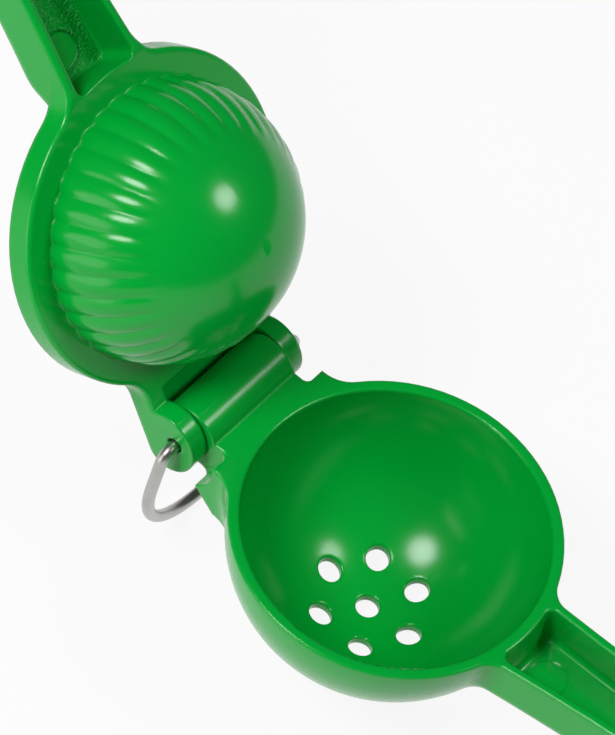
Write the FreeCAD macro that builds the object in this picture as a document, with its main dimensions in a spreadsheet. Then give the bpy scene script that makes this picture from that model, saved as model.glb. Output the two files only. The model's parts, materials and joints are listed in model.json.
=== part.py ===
"""Hand-held citrus press: a strainer arm, a press arm and the bent wire that hinges them.

Frame: X runs along the strainer arm's handle, Y along the hinge axis, Z up out of the bowl.
The origin is in the middle of the strainer arm's grip.  The press arm stands fully open.
Both arms are drawn in one closed frame, with the bowl's centre in the rim plane at its origin.
"""
import FreeCAD, Part
import math
import os
import re
import Sketcher

doc = FreeCAD.newDocument("citrus_press")

# Driving dimensions, in millimetres, degrees and counts
SIZES = {
    "bowl_inner_radius": 29.0,
    "bowl_wall": 2.2,
    "bowl_straight": 2.1,
    "drain_diameter": 4.6,
    "drain_ring_radius": 9.9,
    "drain_count": 6,
    "drain_round": 0.4,
    "rim_round": 0.5,
    "rim_gap": 0.4,
    "hinge_set": 9.6,
    "hinge_drop": 2.26,
    "opening_angle": 121.7,
    "tongue_width": 31.2,
    "tongue_root_depth": 13.4,
    "tongue_round": 7.0,
    "knuckle_radius": 6.2,
    "knuckle_clearance": 0.45,
    "valley_round": 0.8,
    "stop_gap": 0.3,
    "heel_root": 4.9,
    "heel_height": 7.2,
    "hood_reach": 3.2,
    "recess_reach": 10.0,
    "recess_floor": 5.0,
    "ear_thickness": 3.9,
    "ear_side_gap": 0.3,
    "ear_notch_gap": 0.4,
    "notch_round": 1.3,
    "ear_end_reach": 7.2,
    "ear_front_radius": 6.1,
    "ear_round_radius": 8.0,
    "ear_round_height": 3.5,
    "ear_front_reach": 2.6,
    "ear_root_reach": 7.0,
    "ear_hole_diameter": 3.4,
    "flange_inset": 0.1,
    "flange_thickness": 5.0,
    "flange_round": 0.8,
    "juice_gap": 3.6,
    "dome_offset": 1.5,
    "dome_wall": 2.6,
    "flute_count": 36,
    "flute_radius": 4.4,
    "flute_rise": 0.7,
    "flute_bend": 1.9,
    "flute_sweep": 56.0,
    "flute_lead": 8.0,
    "handle_length": 131.8,
    "handle_height": 12.2,
    "handle_wall": 1.8,
    "handle_root_width": 18.0,
    "handle_waist_width": 14.2,
    "handle_waist_run": 46.8,
    "handle_end_width": 18.4,
    "handle_back_round": 3.0,
    "strainer_root_round": 5.0,
    "press_root_round": 8.0,
    "crease_round": 4.0,
    "handle_web_slope": 45.0,
    "handle_ridge_round": 8.0,
    "strainer_handle_rise": 9.6,
    "press_handle_rise": 14.8,
    "channel_depth": 9.4,
    "channel_start": -0.4,
    "channel_corner": 1.6,
    "channel_floor_round": 1.2,
    "mark_diameter": 7.6,
    "mark_depth": 0.2,
    "mark_run": 5.2,
    "grip_run": 68.8,
    "wire_diameter": 2.4,
    "wire_running_gap": 0.08,
    "wire_butt_gap": 0.4,
    "wire_bend_radius": 2.6,
    "ring_radius": 20.2,
    "ring_depth": 33.3,
    "ring_lean": 8.0,
}

# Places that follow from the driving dimensions; a formula may use any name above it
LAYOUT = {
    "bowl_outer": "bowl_inner_radius + bowl_wall",
    "bowl_centre_z": "-bowl_straight",
    "flange_radius": "bowl_outer - flange_inset",
    "bowl_inner_bottom": "-bowl_straight - bowl_inner_radius",
    "drain_radius": "drain_diameter / 2",
    "drain_outer_z": "bowl_centre_z - sqrt(bowl_outer ^ 2 - drain_radius ^ 2)",
    "face_z": "rim_gap",
    "back_z": "rim_gap + flange_thickness",
    "tongue_half": "tongue_width / 2",
    "tongue_end": "sqrt((bowl_outer + tongue_round) ^ 2 - (tongue_half + tongue_round) ^ 2)",
    "hinge_x": "-tongue_end - hinge_set",
    "hinge_z": "-hinge_drop",
    "ear_inner": "tongue_half - ear_thickness",
    "knuckle_half": "ear_inner - ear_side_gap",
    "slot_width": "2 * ear_inner",
    "knuckle_width": "2 * knuckle_half",
    "bore_radius": "wire_diameter / 2 + wire_running_gap",
    "ear_hole_radius": "ear_hole_diameter / 2",
    # Ear outline, about the hinge axis in the closed frame
    "ear_back": "back_z + hinge_drop",
    "ear_corner": "ear_back - ear_round_height",
    "ear_corner_x": "ear_corner - ear_end_reach",
    "ear_front_rise": "sqrt(ear_round_radius ^ 2 - (ear_front_reach + ear_end_reach - ear_round_radius) ^ 2)",
    "ear_swing": "sqrt(ear_corner_x ^ 2 + ear_round_height ^ 2) + ear_corner",
    "notch_radius": "ear_swing + ear_notch_gap",
    "ear_root_x": "hinge_x + ear_root_reach",
    "ear_front_x": "hinge_x + ear_front_reach",
    "ear_front_z": "hinge_z + ear_round_height - ear_front_rise",
    "ear_end_x": "hinge_x - ear_end_reach",
    "ear_end_z": "hinge_z + ear_round_height",
    "ear_back_x": "hinge_x + ear_corner_x",
    # Recess for the knuckle, open to the front, with a hood behind it
    "swing_radius": "knuckle_radius + knuckle_clearance",
    "recess_x": "hinge_x + recess_reach",
    "recess_z": "hinge_z + recess_floor",
    "hood_top": "hinge_z + swing_radius",
    "hood_x": "hinge_x - hood_reach",
    "hood_z": "hinge_z + sqrt(swing_radius ^ 2 - hood_reach ^ 2)",
    "clear_x": "hinge_x - 3 * ear_end_reach",
    "clear_front": "hinge_z - 3 * ear_end_reach",
    "clear_back": "back_z + ear_end_reach",
    # Heel under the knuckle, which meets the hood at the open stop
    "heel_reach": "hood_reach + stop_gap",
    "heel_near_x": "hinge_x - heel_reach * cos(opening_angle) - heel_root * sin(opening_angle)",
    "heel_near_z": "hinge_z - heel_reach * sin(opening_angle) + heel_root * cos(opening_angle)",
    "heel_far_x": "hinge_x - heel_reach * cos(opening_angle) - heel_height * sin(opening_angle)",
    "heel_far_z": "hinge_z - heel_reach * sin(opening_angle) + heel_height * cos(opening_angle)",
    "tongue_neck_x": "hinge_x + knuckle_radius",
    "tongue_inner_x": "-bowl_inner_radius / 2",
    "tongue_root_z": "-tongue_root_depth",
    "tongue_root_x": "-sqrt(bowl_outer ^ 2 - (tongue_root_depth - bowl_straight) ^ 2)",
    "knuckle_web_x": "hinge_x + notch_radius + valley_round",
    # Handles
    "handle_reach": "bowl_outer + handle_length",
    "handle_waist_reach": "bowl_outer + handle_waist_run",
    "grip_reach": "bowl_outer + grip_run",
    "root_half": "handle_root_width / 2",
    "waist_half": "handle_waist_width / 2",
    "end_half": "handle_end_width / 2",
    "handle_inner_x": "bowl_inner_radius - handle_root_width",
    "handle_outer_x": "handle_reach + handle_root_width",
    "cap_x": "handle_reach - end_half",
    "end_run": "cap_x - handle_waist_reach",
    "root_curve": "(handle_waist_run ^ 2 + (root_half - waist_half) ^ 2) / (2 * (root_half - waist_half))",
    "end_curve": "(end_run ^ 2 + (end_half - waist_half) ^ 2) / (2 * (end_half - waist_half))",
    "inner_run": "handle_waist_reach - handle_inner_x",
    "inner_half": "waist_half + root_curve - sqrt(root_curve ^ 2 - inner_run ^ 2)",
    "blank_width": "4 * bowl_outer",
    "blank_x": "-2 * bowl_outer",
    "strainer_tip_z": "(handle_outer_x - bowl_outer) * tan(strainer_handle_rise)",
    "strainer_tip_back": "strainer_tip_z - handle_height",
    "strainer_inner_back": "(handle_inner_x - bowl_outer) * tan(strainer_handle_rise) - handle_height",
    "strainer_low": "2 * strainer_inner_back",
    "strainer_blank": "strainer_tip_z - strainer_low",
    "press_tip_z": "face_z + (handle_outer_x - bowl_outer) * tan(press_handle_rise)",
    "press_tip_back": "press_tip_z + handle_height",
    "press_root_back": "face_z + handle_height",
    "press_low": "face_z - handle_height",
    "press_high": "2 * press_tip_back",
    "press_blank": "press_tip_back - press_low",
    "strainer_crease": "crease_round * tan(strainer_handle_rise / 2)",
    "strainer_crease_x": "bowl_outer - strainer_crease",
    "strainer_bend_x": "bowl_outer + strainer_crease * cos(strainer_handle_rise)",
    "strainer_bend_z": "strainer_crease * sin(strainer_handle_rise)",
    "press_crease": "crease_round * tan(press_handle_rise / 2)",
    "press_crease_x": "bowl_outer - press_crease",
    "press_bend_x": "bowl_outer + press_crease * cos(press_handle_rise)",
    "press_bend_z": "face_z + press_crease * sin(press_handle_rise)",
    "press_stack": "back_z - press_low",
    "web_x": "bowl_outer - (press_root_back - press_low) / tan(handle_web_slope)",
    "ridge_run": "handle_ridge_round * tan((handle_web_slope - press_handle_rise) / 2)",
    "ridge_near_x": "bowl_outer - ridge_run * cos(handle_web_slope)",
    "ridge_near_z": "press_root_back - ridge_run * sin(handle_web_slope)",
    "ridge_far_x": "bowl_outer + ridge_run * cos(press_handle_rise)",
    "ridge_far_z": "press_root_back + ridge_run * sin(press_handle_rise)",
    # Channels, in the plane of the handle's edges, from the crease outwards
    "channel_half_root": "root_half - handle_wall",
    "channel_half_waist": "waist_half - handle_wall",
    "channel_half_end": "end_half - handle_wall",
    "channel_square": "channel_half_root - channel_corner",
    "channel_wall_curve": "bowl_outer + channel_start",
    "mark_floor": "channel_depth + mark_depth",
    "channel_bend": "channel_start + channel_corner",
    "channel_root_curve": "root_curve + handle_wall",
    "channel_end_curve": "end_curve + handle_wall",
    "strainer_waist_u": "handle_waist_run / cos(strainer_handle_rise)",
    "strainer_cap_u": "(cap_x - bowl_outer) / cos(strainer_handle_rise)",
    "strainer_end_u": "strainer_cap_u + channel_half_end",
    "press_waist_u": "handle_waist_run / cos(press_handle_rise)",
    "press_cap_u": "(cap_x - bowl_outer) / cos(press_handle_rise)",
    "press_end_u": "press_cap_u + channel_half_end",
    "mark_radius": "mark_diameter / 2",
    # Dome and flutes
    "dome_radius": "bowl_inner_radius - juice_gap",
    "dome_z": "face_z - dome_offset",
    "dome_tip_z": "dome_z - dome_radius",
    "dome_foot": "sqrt(dome_radius ^ 2 - dome_offset ^ 2)",
    "cup_radius": "dome_radius - dome_wall",
    "cup_tip_z": "dome_z - cup_radius",
    "flute_base_radius": "dome_radius + flute_rise",
    "flute_curve_radius": "dome_radius - flute_bend",
    "flute_pivot_x": "flute_base_radius - sqrt(flute_curve_radius ^ 2 - dome_offset ^ 2)",
    "flute_centre_x": "flute_pivot_x + flute_curve_radius - flute_radius",
    # Grip and the open pose
    "grip_z": "grip_run * tan(strainer_handle_rise) - handle_height / 2",
    "shift_x": "-grip_reach",
    "shift_z": "-grip_z",
    "press_shift_x": "hinge_x - hinge_x * cos(opening_angle) + hinge_z * sin(opening_angle) - grip_reach",
    "press_shift_z": "hinge_z - hinge_x * sin(opening_angle) - hinge_z * cos(opening_angle) - grip_z",
    "wire_shift_x": "hinge_x - grip_reach",
    "wire_shift_z": "hinge_z - grip_z",
    # Wire path from the knuckle's middle, across the hinge axis and down round the ring
    "wire_radius": "wire_diameter / 2",
    "butt_y": "wire_butt_gap / 2",
    "ring_rise": "ring_radius * (1 + sin(ring_lean))",
    "bend_drop": "wire_bend_radius * (1 - sin(ring_lean))",
    "leg_length": "(ring_depth - ring_rise - bend_drop) / cos(ring_lean)",
    "elbow_y": "(ring_radius - wire_bend_radius) * cos(ring_lean) - leg_length * sin(ring_lean)",
    "leg_top_y": "elbow_y + wire_bend_radius * cos(ring_lean)",
    "leg_top_z": "-bend_drop",
    "leg_end_y": "ring_radius * cos(ring_lean)",
    "leg_end_z": "ring_rise - ring_depth",
    "ring_bottom_z": "-ring_depth",
}


def make_sheet(name, cells):
    """A spreadsheet with one aliased cell in column B for each entry, named in column A."""
    sheet = doc.addObject("Spreadsheet::Sheet", name)
    for row, (alias, content) in enumerate(cells.items(), start=1):
        sheet.set("A%d" % row, alias)
        sheet.set("B%d" % row, str(content))
        sheet.setAlias("B%d" % row, alias)
    doc.recompute()
    return sheet


def with_sheet_names(formula):
    """The formula with each driving dimension read from the Sizes sheet."""
    return "=" + re.sub("[a-z_]+", lambda word: "Sizes." * (word[0] in SIZES) + word[0], formula)


sizes = make_sheet("Sizes", SIZES)
layout = make_sheet("Layout", {name: with_sheet_names(formula) for name, formula in LAYOUT.items()})


def cell(name):
    """The expression that reads a named size."""
    return ("Sizes." if name in SIZES else "Layout.") + name


def size(name):
    """The value of a named size now; a leading minus sign turns it round, and "0" is nought."""
    if name == "0":
        return 0.0
    if name.startswith("-"):
        return -size(name[1:])
    return float((sizes if name in SIZES else layout).get(name))


def bind(thing, prop, name, unit=""):
    """Ties a property to a named size."""
    sign = "-" if name.startswith("-") else ""
    thing.setExpression(prop, sign + cell(name.lstrip("-")) + (" * 1 " + unit if unit else ""))


def make_body(label, x, z, angle=None):
    """A body at its place in the part, turned open about the hinge's direction if an angle is named."""
    body = doc.addObject("PartDesign::Body", label)
    body.Label = label
    if angle:
        turn = FreeCAD.Rotation(FreeCAD.Vector(0, -1, 0), size(angle))
        body.Placement = FreeCAD.Placement(FreeCAD.Vector(), turn)
        bind(body, "Placement.Rotation.Angle", angle, "deg")
    bind(body, "Placement.Base.x", x)
    bind(body, "Placement.Base.z", z)
    return body


def new_sketch(body, name, plane, offset=None, tilt=None):
    """A sketch on one of the body's own planes, moved by named sizes or tilted about the hinge."""
    sketch = body.newObject("Sketcher::SketchObject", name)
    support = [item for item in body.Origin.OriginFeatures if item.Role == plane][0]
    sketch.AttachmentSupport = [(support, "")]
    sketch.MapMode = "FlatFace"
    if tilt:
        sketch.AttachmentOffset = FreeCAD.Placement(
            FreeCAD.Vector(), FreeCAD.Rotation(FreeCAD.Vector(0, -1, 0), size(tilt)))
        bind(sketch, "AttachmentOffset.Rotation.Angle", tilt, "deg")
    for axis, distance in (offset or {}).items():
        bind(sketch, "AttachmentOffset.Base." + axis, distance)
    return sketch


def place_point(sketch, index, end, x, y):
    """Ties one end of a sketch line to two sizes."""
    for kind, name in (("DistanceX", x), ("DistanceY", y)):
        made = sketch.addConstraint(Sketcher.Constraint(kind, -1, 1, index, end, size(name)))
        if name != "0":
            bind(sketch, "Constraints[%d]" % made, name)


def draw(sketch, corners, closed=True):
    """An outline through corners (x, y, curve): curve names the radius of the arc to the next corner.

    A minus sign before the radius turns the arc clockwise.
    """
    spans = len(corners) if closed else len(corners) - 1
    joins = []
    for number in range(spans):
        x, y, curve = corners[number]
        next_x, next_y = corners[(number + 1) % len(corners)][:2]
        start = FreeCAD.Vector(size(x), size(y), 0)
        finish = FreeCAD.Vector(size(next_x), size(next_y), 0)
        if curve is None:
            index = sketch.addGeometry(Part.LineSegment(start, finish))
            joins.append((index, 1, 2))
            continue
        clockwise = curve.startswith("-")
        radius = size(curve.lstrip("-"))
        if clockwise:
            start, finish = finish, start
        half = (finish - start) * 0.5
        height = math.sqrt(max(radius ** 2 - half.Length ** 2, 0.0))
        side = FreeCAD.Vector(-half.y, half.x, 0).normalize()
        centre = start + half + side * height
        first = math.atan2(start.y - centre.y, start.x - centre.x)
        last = math.atan2(finish.y - centre.y, finish.x - centre.x)
        circle = Part.Circle(centre, FreeCAD.Vector(0, 0, 1), radius)
        if last < first:
            last += 2 * math.pi
        index = sketch.addGeometry(Part.ArcOfCircle(circle, first, last))
        joins.append((index, 2, 1) if clockwise else (index, 1, 2))
    for number, (index, first_end, last_end) in enumerate(joins):
        x, y, curve = corners[number]
        place_point(sketch, index, first_end, x, y)
        if number + 1 < len(joins) or closed:
            following = joins[(number + 1) % len(joins)]
            sketch.addConstraint(Sketcher.Constraint("Coincident", index, last_end, *following[:2]))
        else:
            place_point(sketch, index, last_end, *corners[-1][:2])
        if curve:
            name = curve.lstrip("-")
            made = sketch.addConstraint(Sketcher.Constraint("Radius", index, size(name)))
            bind(sketch, "Constraints[%d]" % made, name)
    return sketch


def draw_circle(sketch, x, y, radius):
    """A circle about a point, both tied to sizes."""
    centre = FreeCAD.Vector(size(x), size(y), 0)
    index = sketch.addGeometry(Part.Circle(centre, FreeCAD.Vector(0, 0, 1), size(radius)))
    place_point(sketch, index, 3, x, y)
    made = sketch.addConstraint(Sketcher.Constraint("Radius", index, size(radius)))
    bind(sketch, "Constraints[%d]" % made, radius)
    return sketch


def feature(body, kind, name, sketch=None, **settings):
    """A PartDesign feature; text settings that name a size are tied to it."""
    made = body.newObject("PartDesign::" + kind, name)
    if sketch:
        made.Profile = sketch
        sketch.Visibility = False
    for prop, value in settings.items():
        if isinstance(value, str) and (value in SIZES or value in LAYOUT):
            bind(made, prop, value)
        else:
            setattr(made, prop, value)
    doc.recompute()
    return made


def revolve(body, kind, name, sketch, **settings):
    """A turned feature, about the sketch's upright axis unless another is given."""
    settings.setdefault("ReferenceAxis", (sketch, ["V_Axis"]))
    settings.setdefault("Angle", 360)
    return feature(body, kind, name, sketch, **settings)


def round_edges(body, name, radius, wanted):
    """A fillet on each edge of the body's last shape that wanted(edge) picks."""
    base = body.Tip
    names = ["Edge%d" % (number + 1) for number, edge in enumerate(base.Shape.Edges) if wanted(edge)]
    if not names:
        raise RuntimeError("no edge found for " + name)
    return feature(body, "Fillet", name, Base=(base, names), Radius=radius)


def lies(edge, test):
    """True where both ends and the middle of an edge pass a test on x, y and z."""
    first, last = edge.ParameterRange
    return all(test(*edge.valueAt(first + (last - first) * share)) for share in (0.02, 0.5, 0.98))


def slopes(face):
    """True where a face is neither level nor upright at its middle."""
    first, last, low, high = face.ParameterRange
    return 0.01 < abs(face.normalAt((first + last) / 2, (low + high) / 2).z) < 0.999


def across(edge):
    """True where an edge runs straight across the part, along the hinge's direction."""
    return edge.Curve.TypeId == "Part::GeomLine" and abs(edge.tangentAt(edge.FirstParameter).y) > 0.999


def bounds(edge, faces):
    """True where an edge that doesn't run straight across bounds just one of the faces."""
    return not across(edge) and sum(any(edge.isSame(side) for side in face.Edges) for face in faces) == 1


def near(value, name):
    """True where a coordinate sits at a named size."""
    return abs(value - size(name)) < 0.01


def add_handle(body, base, height, back):
    """A waisted handle with its back cut to a side outline and rounded; its front stays tall for now."""
    plan = draw(new_sketch(body, "handle_plan", "XY_Plane", {"z": base}), [
        ("handle_inner_x", "-inner_half", "-root_curve"), ("handle_waist_reach", "-waist_half", "-end_curve"),
        ("cap_x", "-end_half", "end_half"), ("handle_reach", "0", "end_half"),
        ("cap_x", "end_half", "-end_curve"), ("handle_waist_reach", "waist_half", "-root_curve"),
        ("handle_inner_x", "inner_half", None)])
    feature(body, "Pad", "handle_blank", plan, Length=height)
    side = draw(new_sketch(body, "handle_back_side", "XZ_Plane"), back)
    feature(body, "Pocket", "handle_back", side, Length="blank_width", SideType="Symmetric")
    cut = [face for face in body.Tip.Shape.Faces if slopes(face)]
    round_edges(body, "handle_back_round", "handle_back_round", lambda edge: bounds(edge, cut))


def trim_front(body, outline):
    """Cuts an arm level with its rim, and along the plane of its handle's edges past the crease."""
    side = draw(new_sketch(body, "front_side", "XZ_Plane"), outline)
    feature(body, "Pocket", "front", side, Length="blank_width", SideType="Symmetric")


def cut_channel(body, face, rise, waist, cap, end, inwards):
    """The open channel along a handle, square to the plane of its edges, with a round mark on its floor."""
    place = {"x": "bowl_outer", "z": face} if face else {"x": "bowl_outer"}
    outline = draw(new_sketch(body, "channel_outline", "XY_Plane", place, rise), [
        ("channel_bend", "-channel_half_root", "-channel_root_curve"),
        (waist, "-channel_half_waist", "-channel_end_curve"),
        (cap, "-channel_half_end", "channel_half_end"), (end, "0", "channel_half_end"),
        (cap, "channel_half_end", "-channel_end_curve"), (waist, "channel_half_waist", "-channel_root_curve"),
        ("channel_bend", "channel_half_root", "channel_corner"),
        ("channel_start", "channel_square", "-channel_wall_curve"),
        ("channel_start", "-channel_square", "channel_corner")])
    feature(body, "Pocket", "channel", outline, SideType="Two sides", Length="channel_depth",
            Length2="handle_wall", Reversed=not inwards)
    level = FreeCAD.Vector(size("bowl_outer"), 0, size(face) if face else 0)
    normal = outline.Placement.Rotation.multVec(FreeCAD.Vector(0, 0, 1 if inwards else -1))

    def on_floor(x, y, z):
        return abs((level - FreeCAD.Vector(x, y, z)).dot(normal) - size("channel_depth")) < 0.01

    round_edges(body, "channel_floor_round", "channel_floor_round", lambda edge: lies(edge, on_floor))
    mark = new_sketch(body, "mark_outline", "XY_Plane", place, rise)
    draw_circle(mark, "mark_run", "0", "mark_radius")
    feature(body, "Pocket", "mark", mark, SideType="Two sides", Length="mark_floor", Length2="handle_wall",
            Reversed=not inwards)


def on_front(face, rise):
    """A test for points on an arm's front: level with its rim, and sloping past the crease."""
    slope = math.tan(math.radians(size(rise)))
    return lambda x, y, z: abs(z - size(face) - slope * max(x - size("bowl_outer"), 0.0)) < 0.05


def make_strainer_arm():
    """The lower arm: a bowl with drain holes, a tongue with the hinge knuckle, and a channelled handle."""
    body = make_body("strainer_arm", "shift_x", "shift_z")
    add_handle(body, "strainer_low", "strainer_blank", [
        ("handle_inner_x", "strainer_inner_back", None), ("handle_inner_x", "strainer_low", None),
        ("handle_outer_x", "strainer_low", None), ("handle_outer_x", "strainer_tip_back", None)])
    # The bowl is turned with its middle drain hole, so no cut meets the pole of a sphere
    bowl = draw(new_sketch(body, "bowl_outline", "XZ_Plane"), [
        ("drain_radius", "strainer_tip_z", None), ("bowl_outer", "strainer_tip_z", None),
        ("bowl_outer", "bowl_centre_z", "-bowl_outer"), ("drain_radius", "drain_outer_z", None)])
    revolve(body, "Revolution", "bowl", bowl)

    def on_bowl(x, y, z):
        drop = min(z + size("bowl_straight"), 0.0)
        return abs(math.sqrt(x * x + y * y + drop * drop) - size("bowl_outer")) < 0.01

    round_edges(body, "handle_root_round", "strainer_root_round",
                lambda edge: lies(edge, lambda x, y, z: on_bowl(x, y, z) and x > abs(y)
                                  and z < size("strainer_tip_z") - 0.01))
    trim_front(body, [("blank_x", "0", None), ("strainer_crease_x", "0", "crease_round"),
                      ("strainer_bend_x", "strainer_bend_z", None),
                      ("handle_outer_x", "strainer_tip_z", None), ("blank_x", "strainer_tip_z", None)])

    tongue = draw(new_sketch(body, "tongue_side", "XZ_Plane"), [
        ("tongue_inner_x", "0", None), ("hinge_x", "0", None), ("hinge_x", "heel_far_z", None),
        ("tongue_neck_x", "heel_far_z", None), ("tongue_root_x", "tongue_root_z", None),
        ("tongue_inner_x", "tongue_root_z", None)])
    feature(body, "Pad", "tongue", tongue, Length="tongue_width", SideType="Symmetric")
    notch = draw_circle(new_sketch(body, "ear_sweep", "XZ_Plane"), "hinge_x", "hinge_z", "notch_radius")
    feature(body, "Pocket", "ear_notch", notch, Length="blank_width", SideType="Symmetric")

    round_edges(body, "tongue_root_round", "tongue_round",
                lambda edge: lies(edge, lambda x, y, z: on_bowl(x, y, z) and near(abs(y), "tongue_half")))

    web = draw(new_sketch(body, "knuckle_web_side", "XZ_Plane"), [
        ("knuckle_web_x", "0", None), ("hinge_x", "0", None), ("heel_near_x", "heel_near_z", None),
        ("heel_far_x", "heel_far_z", None), ("tongue_neck_x", "heel_far_z", None),
        ("knuckle_web_x", "heel_far_z", None)])
    feature(body, "Pad", "knuckle_web", web, Length="knuckle_width", SideType="Symmetric")

    def on_notch(x, y, z):
        return near(math.hypot(x - size("hinge_x"), z - size("hinge_z")), "notch_radius")

    round_edges(body, "notch_round", "notch_round",
                lambda edge: lies(edge, lambda x, y, z: on_notch(x, y, z) and near(abs(y), "knuckle_half")))
    barrel = draw_circle(new_sketch(body, "knuckle_side", "XZ_Plane"), "hinge_x", "hinge_z", "knuckle_radius")
    feature(body, "Pad", "knuckle", barrel, Length="knuckle_width", SideType="Symmetric")
    bore = draw_circle(new_sketch(body, "bore_side", "XZ_Plane"), "hinge_x", "hinge_z", "bore_radius")
    feature(body, "Pocket", "bore", bore, Length="tongue_width", SideType="Symmetric")

    cavity = draw(new_sketch(body, "cavity_outline", "XZ_Plane"), [
        ("0", "0", None), ("bowl_inner_radius", "0", None),
        ("bowl_inner_radius", "bowl_centre_z", "-bowl_inner_radius"), ("0", "bowl_inner_bottom", None)])
    revolve(body, "Groove", "cavity", cavity)
    cut_channel(body, None, "strainer_handle_rise", "strainer_waist_u", "strainer_cap_u", "strainer_end_u",
                inwards=True)

    outer = new_sketch(body, "outer_drain_plan", "XY_Plane")
    draw_circle(outer, "drain_ring_radius", "0", "drain_radius")
    drain = feature(body, "Pocket", "outer_drain", outer, Type="ThroughAll")
    ring = feature(body, "PolarPattern", "outer_drains", Originals=[drain], Axis=(outer, ["N_Axis"]),
                   Angle=360, Occurrences="drain_count")
    body.Tip = ring
    doc.recompute()
    round_edges(body, "drain_round", "drain_round",
                lambda edge: lies(edge, lambda x, y, z: z < size("tongue_root_z")
                                  and math.hypot(x, y) < size("bowl_inner_radius") / 2)
                and not edge.Curve.TypeId == "Part::GeomLine")
    front = on_front("0", "strainer_handle_rise")
    round_edges(body, "front_round", "rim_round", lambda edge: lies(edge, front) and not across(edge))
    return body


def make_press_arm():
    """The upper arm: a flange with the fluted dome, two hinge ears, and a channelled handle."""
    body = make_body("press_arm", "press_shift_x", "press_shift_z", "opening_angle")
    add_handle(body, "press_low", "press_blank", [
        ("handle_inner_x", "press_low", None), ("web_x", "press_low", None),
        ("ridge_near_x", "ridge_near_z", "-handle_ridge_round"), ("ridge_far_x", "ridge_far_z", None),
        ("handle_outer_x", "press_tip_back", None), ("handle_outer_x", "press_high", None),
        ("handle_inner_x", "press_high", None)])
    flange = new_sketch(body, "flange_plan", "XY_Plane", {"z": "press_low"})
    draw_circle(flange, "0", "0", "flange_radius")
    feature(body, "Pad", "flange", flange, Length="press_stack")

    def on_flange(x, y, z):
        return abs(math.hypot(x, y) - size("flange_radius")) < 0.01

    round_edges(body, "handle_root_round", "press_root_round",
                lambda edge: lies(edge, lambda x, y, z: on_flange(x, y, z) and x > abs(y)
                                  and size("press_low") + 0.01 < z < size("back_z") - 0.01))
    trim_front(body, [("blank_x", "face_z", None), ("blank_x", "press_low", None),
                      ("handle_outer_x", "press_low", None), ("handle_outer_x", "press_tip_z", None),
                      ("press_bend_x", "press_bend_z", "-crease_round"), ("press_crease_x", "face_z", None)])
    ears = draw(new_sketch(body, "ear_side", "XZ_Plane"), [
        ("tongue_inner_x", "face_z", None), ("ear_root_x", "face_z", "-ear_front_radius"),
        ("ear_front_x", "ear_front_z", "-ear_round_radius"), ("ear_end_x", "ear_end_z", "-ear_corner"),
        ("ear_back_x", "back_z", None), ("tongue_inner_x", "back_z", None)])
    feature(body, "Pad", "ears", ears, Length="tongue_width", SideType="Symmetric")

    round_edges(body, "tongue_root_round", "tongue_round",
                lambda edge: lies(edge, lambda x, y, z: on_flange(x, y, z) and near(abs(y), "tongue_half")))

    front = on_front("face_z", "press_handle_rise")
    round_edges(body, "front_round", "flange_round", lambda edge: lies(edge, front) and not across(edge))

    recess = draw(new_sketch(body, "recess_side", "XZ_Plane"), [
        ("recess_x", "clear_front", None), ("recess_x", "recess_z", None),
        ("hinge_x", "hood_top", "swing_radius"), ("hood_x", "hood_z", None),
        ("hood_x", "clear_back", None), ("clear_x", "clear_back", None),
        ("clear_x", "clear_front", None)])
    feature(body, "Pocket", "knuckle_recess", recess, Length="slot_width", SideType="Symmetric")
    holes = new_sketch(body, "ear_hole_side", "XZ_Plane")
    draw_circle(holes, "hinge_x", "hinge_z", "ear_hole_radius")
    feature(body, "Pocket", "ear_holes", holes, Length="blank_width", SideType="Symmetric")
    cut_channel(body, "face_z", "press_handle_rise", "press_waist_u", "press_cap_u", "press_end_u",
                inwards=False)

    dome = draw(new_sketch(body, "dome_outline", "XZ_Plane"), [
        ("0", "back_z", None), ("0", "dome_tip_z", "dome_radius"), ("dome_foot", "face_z", None),
        ("dome_foot", "back_z", None)])
    revolve(body, "Revolution", "dome", dome)
    section = draw_circle(new_sketch(body, "flute_section", "XY_Plane", {"z": "dome_z"}),
                          "flute_centre_x", "0", "flute_radius")
    pivot = FreeCAD.Vector(size("flute_pivot_x"), 0, 0)
    above = FreeCAD.Vector(size("flute_pivot_x"), size("flute_radius"), 0)
    axis = section.addGeometry(Part.LineSegment(pivot, above), True)
    place_point(section, axis, 1, "flute_pivot_x", "0")
    place_point(section, axis, 2, "flute_pivot_x", "flute_radius")
    flute = revolve(body, "Revolution", "flute", section, ReferenceAxis=(section, ["Axis0"]),
                    Type="TwoAngles", Angle="flute_sweep", Angle2="flute_lead")
    body.Tip = feature(body, "PolarPattern", "flutes", Originals=[flute], Axis=(section, ["N_Axis"]),
                       Angle=360, Occurrences="flute_count")
    doc.recompute()
    cup = draw(new_sketch(body, "cup_outline", "XZ_Plane"), [
        ("0", "back_z", None), ("0", "cup_tip_z", "cup_radius"), ("cup_radius", "dome_z", None),
        ("cup_radius", "back_z", None)])
    revolve(body, "Groove", "cup", cup)
    return body


def make_hinge_ring():
    """The wire: hinge pin and hanging ring in one, with its two ends butted inside the knuckle."""
    body = make_body("hinge_ring", "wire_shift_x", "wire_shift_z")
    path = draw(new_sketch(body, "wire_path", "YZ_Plane"), [
        ("butt_y", "0", None), ("elbow_y", "0", "-wire_bend_radius"), ("leg_top_y", "leg_top_z", None),
        ("leg_end_y", "leg_end_z", "-ring_radius"), ("0", "ring_bottom_z", "-ring_radius"),
        ("-leg_end_y", "leg_end_z", None), ("-leg_top_y", "leg_top_z", "-wire_bend_radius"),
        ("-elbow_y", "0", None),
        ("-butt_y", "0", None)], closed=False)
    section = new_sketch(body, "wire_section", "XZ_Plane", {"z": "-butt_y"})
    draw_circle(section, "0", "0", "wire_radius")
    feature(body, "AdditivePipe", "wire", section, Spine=path)
    return body


parts = [make_strainer_arm(), make_press_arm(), make_hinge_ring()]
doc.recompute()

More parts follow.
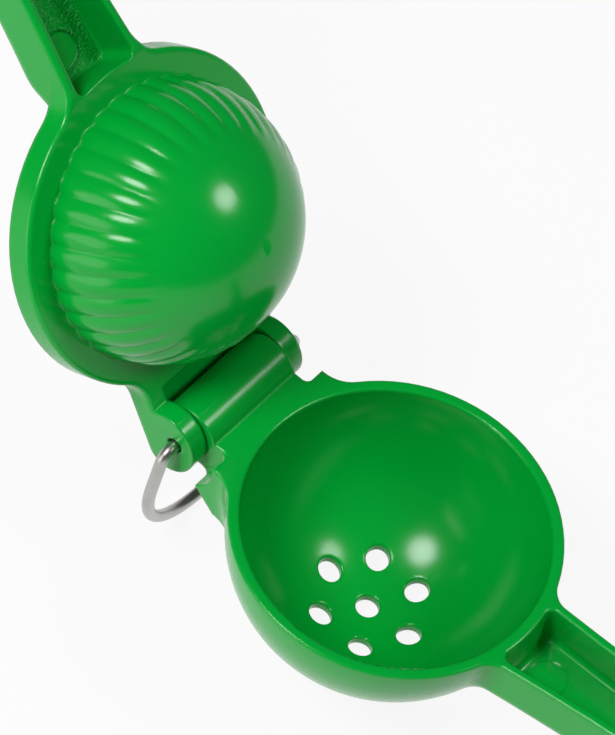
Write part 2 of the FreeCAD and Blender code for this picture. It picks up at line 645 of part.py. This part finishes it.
for item in doc.Objects:
    if {"Invalid", "Error"} & set(item.State):
        raise RuntimeError("failed: " + item.Label + " " + str(item.State))
os.makedirs("parts", exist_ok=True)
for body in parts:
    shape = body.Shape
    if shape.isNull() or not shape.isValid() or len(shape.Solids) != 1:
        raise RuntimeError("bad shape: " + body.Label)
    shape.exportStep("parts/" + body.Label + ".step")
    print(body.Label, "volume", round(shape.Volume, 1), "box", shape.BoundBox)
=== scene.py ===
# %% [markdown]
# # A hand-held citrus press
#
# The real object is two enamelled aluminium castings on one bent steel wire. The engineering
# model already holds their shapes and sizes, so this lesson starts from it, dresses each piece,
# lights it like a plain studio and sets the camera at the photograph's viewpoint.

# %% Load the engineering model
import json
import math

import bpy
from mathutils import Matrix, Vector


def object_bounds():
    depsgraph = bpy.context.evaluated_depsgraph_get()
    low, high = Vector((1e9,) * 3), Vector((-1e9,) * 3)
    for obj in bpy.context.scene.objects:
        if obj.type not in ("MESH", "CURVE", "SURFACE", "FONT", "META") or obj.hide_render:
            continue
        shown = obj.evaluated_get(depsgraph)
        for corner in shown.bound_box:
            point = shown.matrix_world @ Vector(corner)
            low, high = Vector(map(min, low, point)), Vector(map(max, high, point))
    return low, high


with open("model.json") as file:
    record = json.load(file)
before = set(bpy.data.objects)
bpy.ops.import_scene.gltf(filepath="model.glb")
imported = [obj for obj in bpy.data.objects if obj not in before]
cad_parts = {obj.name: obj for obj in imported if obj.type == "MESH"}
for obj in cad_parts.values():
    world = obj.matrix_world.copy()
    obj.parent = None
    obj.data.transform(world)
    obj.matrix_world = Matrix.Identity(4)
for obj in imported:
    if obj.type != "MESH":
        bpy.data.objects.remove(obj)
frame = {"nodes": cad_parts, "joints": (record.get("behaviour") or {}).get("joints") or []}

MM = 0.001
cad_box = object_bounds()
print("pieces:", sorted(frame["nodes"]), "box:", cad_box)

# %% [markdown]
# ## Where things are
#
# The enamel below changes on the floor of the press handle's channel, so its place is worked out
# first. The hinge comes from the joint. The press arm stands open here, so the channel of the
# closed arm is laid out on the bowl and turned back by the hinge's full swing.

# %% Find the hinge, the bowl and the press handle's channel
BOWL_RADIUS = 31.2 * MM
BOWL_TO_HINGE = 40.397 * MM
HINGE_DROP = 2.26 * MM
RIM_GAP = 0.4 * MM
PRESS_RISE = math.radians(14.8)

hinge_joint = next(joint for joint in frame["joints"] if joint["name"] == "press_hinge")
hinge = Vector(hinge_joint["pos_m"])
bowl = hinge + Vector((BOWL_TO_HINGE, 0.0, HINGE_DROP))
open_turn = Matrix.Rotation(-math.radians(hinge_joint["range_deg"][1]), 3, "Y")

root = bowl + Vector((BOWL_RADIUS, 0.0, RIM_GAP))
channel_root = hinge + open_turn @ (root - hinge)
channel_along = open_turn @ Vector((math.cos(PRESS_RISE), 0.0, math.sin(PRESS_RISE)))
channel_inward = open_turn @ Vector((-math.sin(PRESS_RISE), 0.0, math.cos(PRESS_RISE)))
channel_across = channel_inward.cross(channel_along)
print("hinge", hinge, "bowl", bowl, "channel", channel_root, channel_along)

# %% [markdown]
# ## Shader maths as Python
#
# A material is a small graph of nodes. Wiring it by hand takes three lines for every sum, so one
# little class wraps a socket and lets plain operators add the Math nodes.

# %% A socket that does maths
class Signal:
    """One output socket; an operator on it adds the Math node that works it out."""

    def __init__(self, finish, socket):
        self.finish = finish
        self.socket = socket

    def _math(self, operation, first, second):
        return self.finish.node("ShaderNodeMath", {"operation": operation}, {0: first, 1: second})

    def __add__(self, other):
        return self._math("ADD", self, other)

    def __radd__(self, other):
        return self._math("ADD", other, self)

    def __sub__(self, other):
        return self._math("SUBTRACT", self, other)

    def __rsub__(self, other):
        return self._math("SUBTRACT", other, self)

    def __mul__(self, other):
        return self._math("MULTIPLY", self, other)

    def __rmul__(self, other):
        return self._math("MULTIPLY", other, self)

    def most(self, other):
        """The larger of the two."""
        return self._math("MAXIMUM", self, other)

    def out(self, name):
        """Another output of the same node."""
        return Signal(self.finish, self.socket.node.outputs[name])

    def between(self, low, high):
        """0 below low, 1 above high, and a smooth step from one to the other."""
        sockets = {"Value": self, "From Min": low, "From Max": high}
        return self.finish.node("ShaderNodeMapRange", {"interpolation_type": "SMOOTHSTEP"}, sockets)


# %% [markdown]
# A second class holds one material. Its node method adds every other kind of node, and the methods
# after it are short names for the few kinds that the finishes below use.

# %% A material that grows nodes
class Finish:
    """One material, built around a Principled shader."""

    def __init__(self, name):
        self.material = bpy.data.materials.new(name)
        self.material.use_nodes = True
        self.tree = self.material.node_tree
        self.shader = self.tree.nodes["Principled BSDF"]

    def node(self, kind, settings, sockets, output=0):
        """Adds a node: its settings first, then the values or links of its sockets."""
        made = self.tree.nodes.new(kind)
        for name, value in settings.items():
            setattr(made, name, value)
        self.fill(made, sockets)
        return Signal(self, made.outputs[output])

    def fill(self, made, sockets):
        """Sets or links a node's input sockets."""
        for name, value in sockets.items():
            if isinstance(value, Signal):
                self.tree.links.new(value.socket, made.inputs[name])
            else:
                made.inputs[name].default_value = value

    def place(self):
        """Where a point is on the piece, in metres."""
        return self.node("ShaderNodeTexCoord", {}, {}, output="Object")

    def noise(self, size, detail=2.0, roughness=0.5):
        """Soft random patches of about the given size, from 0 to 1."""
        sockets = {"Vector": self.place(), "Scale": 1.0 / size,
                   "Detail": detail, "Roughness": roughness}
        return self.node("ShaderNodeTexNoise", {}, sockets)

    def blend(self, share, first, second):
        """A colour that goes from the first to the second as share goes from 0 to 1."""
        sockets = {"Factor": share, "A": first, "B": second}
        return self.node("ShaderNodeMix", {"data_type": "RGBA"}, sockets, output="Result")

    def along(self, origin, direction):
        """How far a point lies from an origin along a direction, in metres."""
        offset = self.node("ShaderNodeVectorMath", {"operation": "SUBTRACT"},
                           {0: self.place(), 1: origin})
        return self.node("ShaderNodeVectorMath", {"operation": "DOT_PRODUCT"},
                         {0: offset, 1: direction}, output="Value")

    def bump(self, height, distance, normal):
        """A surface normal from a height, whose full range stands the given distance proud."""
        sockets = {"Height": height, "Distance": distance, "Normal": normal}
        return self.node("ShaderNodeBump", {}, sockets)

    def normal(self):
        """The surface normal of the mesh."""
        return self.node("ShaderNodeNewGeometry", {}, {}, output="Normal")


# %% [markdown]
# ## A stippled channel
#
# On the floor of the press handle's channel the rough casting still shows through the enamel as a
# fine stipple. A mask tells where: it goes by how deep a point lies in the channel and how near its
# middle, and it leaves out the smooth round disc by the root. A mask needs no cut in the mesh, so
# the engineering model stays as it is.

# %% Mask the channel's floor
CHANNEL_DEPTH = 9.4 * MM
CHANNEL_HALF_WIDTH = 6.2 * MM
DISC_RUN = 5.2 * MM
DISC_RADIUS = 3.8 * MM
MASK_FADE = 0.6 * MM


def stipple_mask(finish):
    """1 on the floor of the press handle's channel, 0 on its round disc and everywhere else."""
    depth = finish.along(channel_root, channel_inward)
    run = finish.along(channel_root, channel_along)
    across = finish.along(channel_root, channel_across)
    at_floor = depth.between(CHANNEL_DEPTH - 2 * MASK_FADE, CHANNEL_DEPTH - MASK_FADE)
    behind_floor = depth.between(CHANNEL_DEPTH + MASK_FADE, CHANNEL_DEPTH + 2 * MASK_FADE)
    wall_start, wall_end = CHANNEL_HALF_WIDTH, CHANNEL_HALF_WIDTH + MASK_FADE
    walls = (across * across).between(wall_start ** 2, wall_end ** 2)
    from_disc = (run - DISC_RUN) * (run - DISC_RUN) + across * across
    off_disc = from_disc.between((DISC_RADIUS - MASK_FADE) ** 2, DISC_RADIUS ** 2)
    past_root = run.between(-MASK_FADE, MASK_FADE)
    return at_floor * (1 - behind_floor) * (1 - walls) * off_disc * past_root


print("stipple from", channel_root, "and", round(2 * CHANNEL_HALF_WIDTH / MM, 1), "mm wide")

# %% [markdown]
# ## Green enamel
#
# The castings are coated in a thick glossy enamel. It isn't perfectly even: it has a faint orange
# peel, its gloss drifts a little, and the colour is deeper where the coat pooled. A painted image
# could hold all three, but noise needs no unwrapping and stays on the arm as it swings. The coat
# also runs over every edge, so no edge is quite sharp. A Bevel node gives that: it turns the
# normals near an edge without changing the mesh. The stipple is a second bump on top of the peel.

# %% Mix the enamel
ENAMEL_GREEN = (0.0, 0.44, 0.052, 1.0)
ENAMEL_DEEP = (0.0, 0.38, 0.030, 1.0)
ENAMEL_IOR = 1.42
POOL_SIZE = 40 * MM
GLOSS_SIZE = 9 * MM
LEAST_ROUGHNESS = 0.15
ROUGHNESS_DRIFT = 0.08
EDGE_RADIUS = 0.8 * MM
EDGE_SAMPLES = 8
PEEL_SIZE = 2.4 * MM
PEEL_HEIGHT = 0.005 * MM
STIPPLE_SIZE = 0.55 * MM
STIPPLE_HEIGHT = 0.6 * MM


def enamel(name, stippled=False):
    """The enamel of one arm, with or without the stippled floor in its channel."""
    finish = Finish(name)
    edges = finish.node("ShaderNodeBevel", {"samples": EDGE_SAMPLES}, {"Radius": EDGE_RADIUS})
    normal = finish.bump(finish.noise(PEEL_SIZE, detail=1.0), PEEL_HEIGHT, edges)
    if stippled:
        grain = finish.noise(STIPPLE_SIZE, detail=2.0, roughness=0.6)
        normal = finish.bump(grain * stipple_mask(finish), STIPPLE_HEIGHT, normal)
    pools = finish.noise(POOL_SIZE, detail=1.0)
    finish.fill(finish.shader, {
        "Base Color": finish.blend(pools, ENAMEL_DEEP, ENAMEL_GREEN),
        "Roughness": LEAST_ROUGHNESS + ROUGHNESS_DRIFT * finish.noise(GLOSS_SIZE),
        "Normal": normal,
        "IOR": ENAMEL_IOR,
    })
    print("mixed", name, "from", len(finish.tree.nodes), "nodes")
    return finish.material


strainer_enamel = enamel("strainer_enamel")
press_enamel = enamel("press_enamel", stippled=True)

# %% [markdown]
# ## Satin steel
#
# The ring is drawn wire: grey, a little warm, with fine scratches along its length. Stretching a
# noise pattern would need a direction that follows the bends, so the scratches are a very fine
# grain in the roughness and the bump instead, which looks much the same at this scale.

# %% Mix the steel
STEEL_GREY = (0.56, 0.545, 0.52, 1.0)
STEEL_DULL = (0.42, 0.41, 0.395, 1.0)
TARNISH_SIZE = 3.0 * MM
SCRATCH_SIZE = 0.22 * MM
SCRATCH_HEIGHT = 0.012 * MM
STEEL_ROUGHNESS = 0.28
SCRATCH_ROUGHNESS = 0.16


def satin_steel(name):
    """Drawn wire with a satin surface."""
    finish = Finish(name)
    tarnish = finish.noise(TARNISH_SIZE, detail=3.0)
    scratches = finish.noise(SCRATCH_SIZE, detail=3.0, roughness=0.7)
    finish.fill(finish.shader, {
        "Base Color": finish.blend(tarnish, STEEL_DULL, STEEL_GREY),
        "Metallic": 1.0,
        "Roughness": STEEL_ROUGHNESS + SCRATCH_ROUGHNESS * scratches,
        "Normal": finish.bump(scratches, SCRATCH_HEIGHT, finish.normal()),
    })
    print("mixed", name, "from", len(finish.tree.nodes), "nodes")
    return finish.material


wire_steel = satin_steel("wire_steel")

# %% [markdown]
# ## Dress the pieces
#
# New meshes could stand in for the castings and the wire, but the three nodes of the engineering
# model already have the right shapes, so they stay and only change their finish.

# %% Put the finishes on
def dress(node, material):
    """Gives a node its finish."""
    piece = frame["nodes"][node]
    piece.data.materials.clear()
    piece.data.materials.append(material)
    print("dressed", node, "with", material.name)


dress("strainer_arm", strainer_enamel)
dress("press_arm", press_enamel)
dress("hinge_ring", wire_steel)

# %% [markdown]
# ## Floor, light and camera
#
# The object floats on white. A white world alone would give that without a shadow, so it gets a
# floor that is white and still takes a faint shadow: to the camera and in reflections it is mostly
# an even glow with a little white paint in it, and to all other light it is the paint alone.

# %% Lay the floor
WHITE = (1.0, 1.0, 1.0, 1.0)
FLOOR_SIZE = 6.0
FLOOR_GLOW = 0.9
FLOOR_PAINT = (0.9, 0.9, 0.9, 1.0)
FLOOR_ROUGHNESS = 0.9


def white_paper():
    """Paper that looks evenly white and still shows a little shadow."""
    finish = Finish("white_paper")
    finish.fill(finish.shader, {"Base Color": FLOOR_PAINT, "Roughness": FLOOR_ROUGHNESS})
    rays = finish.node("ShaderNodeLightPath", {}, {}, output="Is Camera Ray")
    seen = rays.most(rays.out("Is Glossy Ray")).most(rays.out("Is Transmission Ray"))
    glow = finish.node("ShaderNodeEmission", {}, {"Color": WHITE, "Strength": 1.0})
    paint = Signal(finish, finish.shader.outputs[0])
    mixed = finish.node("ShaderNodeMixShader", {}, {0: seen * FLOOR_GLOW, 1: paint, 2: glow})
    finish.fill(finish.tree.nodes["Material Output"], {"Surface": mixed})
    return finish.material


bpy.ops.object.select_all(action="DESELECT")
bpy.ops.mesh.primitive_plane_add(size=FLOOR_SIZE, location=(bowl.x, 0.0, cad_box[0][2]))
floor = bpy.context.active_object
floor.name = "floor"
floor.data.materials.append(white_paper())
print("floor", FLOOR_SIZE, "m wide at height", round(floor.location.z, 4))

# %% [markdown]
# Two soft lamps make the two highlights on the dome and in the bowl. One large lamp would be
# simpler, but it gives one broad sheen. Their directions come from where the highlights sit, since
# a shiny surface there looks halfway between lamp and eye. A wide, low third lamp stands for the
# white paper in front, which brightens the faces that look sideways.

# %% Hang the lamps
LAMP_DISTANCE = 0.9
AIM_HEIGHT = 20 * MM
aim = Vector((hinge.x, 0.0, bowl.z + AIM_HEIGHT))


def hang_lamp(name, direction, watts, size):
    """A round soft lamp that shines at the middle of the object."""
    lamp = bpy.data.lights.new(name, "AREA")
    lamp.shape = "DISK"
    lamp.energy = watts
    lamp.size = size
    holder = bpy.data.objects.new(name, lamp)
    holder.location = aim + direction.normalized() * LAMP_DISTANCE
    holder.rotation_euler = direction.to_track_quat("Z", "Y").to_euler()
    bpy.context.collection.objects.link(holder)
    print("lamp", name, watts, "W at", holder.location)


hang_lamp("key_lamp", Vector((-0.2, -0.5, 0.82)), watts=5.0, size=0.34)
hang_lamp("side_lamp", Vector((0.55, 0.35, 0.75)), watts=2.6, size=0.28)
hang_lamp("paper_lamp", Vector((-0.35, -0.9, 0.12)), watts=2.7, size=0.70)

# %% [markdown]
# A little even light from all round stands for the walls of the studio. It is kept low, because
# more of it would wash out the green.

# %% Light the room
ROOM_LIGHT = 0.05

world = bpy.data.worlds.new("studio")
world.use_nodes = True
background = world.node_tree.nodes["Background"]
background.inputs["Color"].default_value = WHITE
background.inputs["Strength"].default_value = ROOM_LIGHT
bpy.context.scene.world = world
print("room light", ROOM_LIGHT)

# %% [markdown]
# The camera stands well back with a long lens, as for a catalogue picture. It could be placed by
# eye, but a fit is surer: its place, tilt and lens are those at which the bowl's rim, the drain
# holes, the flange and the hinge come closest to the photograph. In a tall picture Blender lays the
# sensor's width along the height, so the lens is worked out from the height.

# %% Set the camera
FRAME_HEIGHT = 735
FOCAL_PIXELS = 3426.2
SENSOR_WIDTH = 36.0
CAMERA_PLACE = Vector((24.1, -303.4, 525.6)) * MM
CAMERA_RIGHT = Vector((0.752, 0.640, 0.160))
CAMERA_VIEW = Vector((-0.247, 0.497, -0.832))

lens = bpy.data.cameras.new("camera")
lens.sensor_width = SENSOR_WIDTH
lens.lens = FOCAL_PIXELS / FRAME_HEIGHT * SENSOR_WIDTH
camera = bpy.data.objects.new("camera", lens)
back = -CAMERA_VIEW.normalized()
right = (CAMERA_RIGHT - back * CAMERA_RIGHT.dot(back)).normalized()
pose = Matrix((right, back.cross(right), back)).transposed().to_4x4()
pose.translation = CAMERA_PLACE
camera.matrix_world = pose
bpy.context.collection.objects.link(camera)
bpy.context.scene.camera = camera
bpy.context.scene.view_settings.view_transform = "Standard"
print("lens", round(lens.lens, 1), "mm")
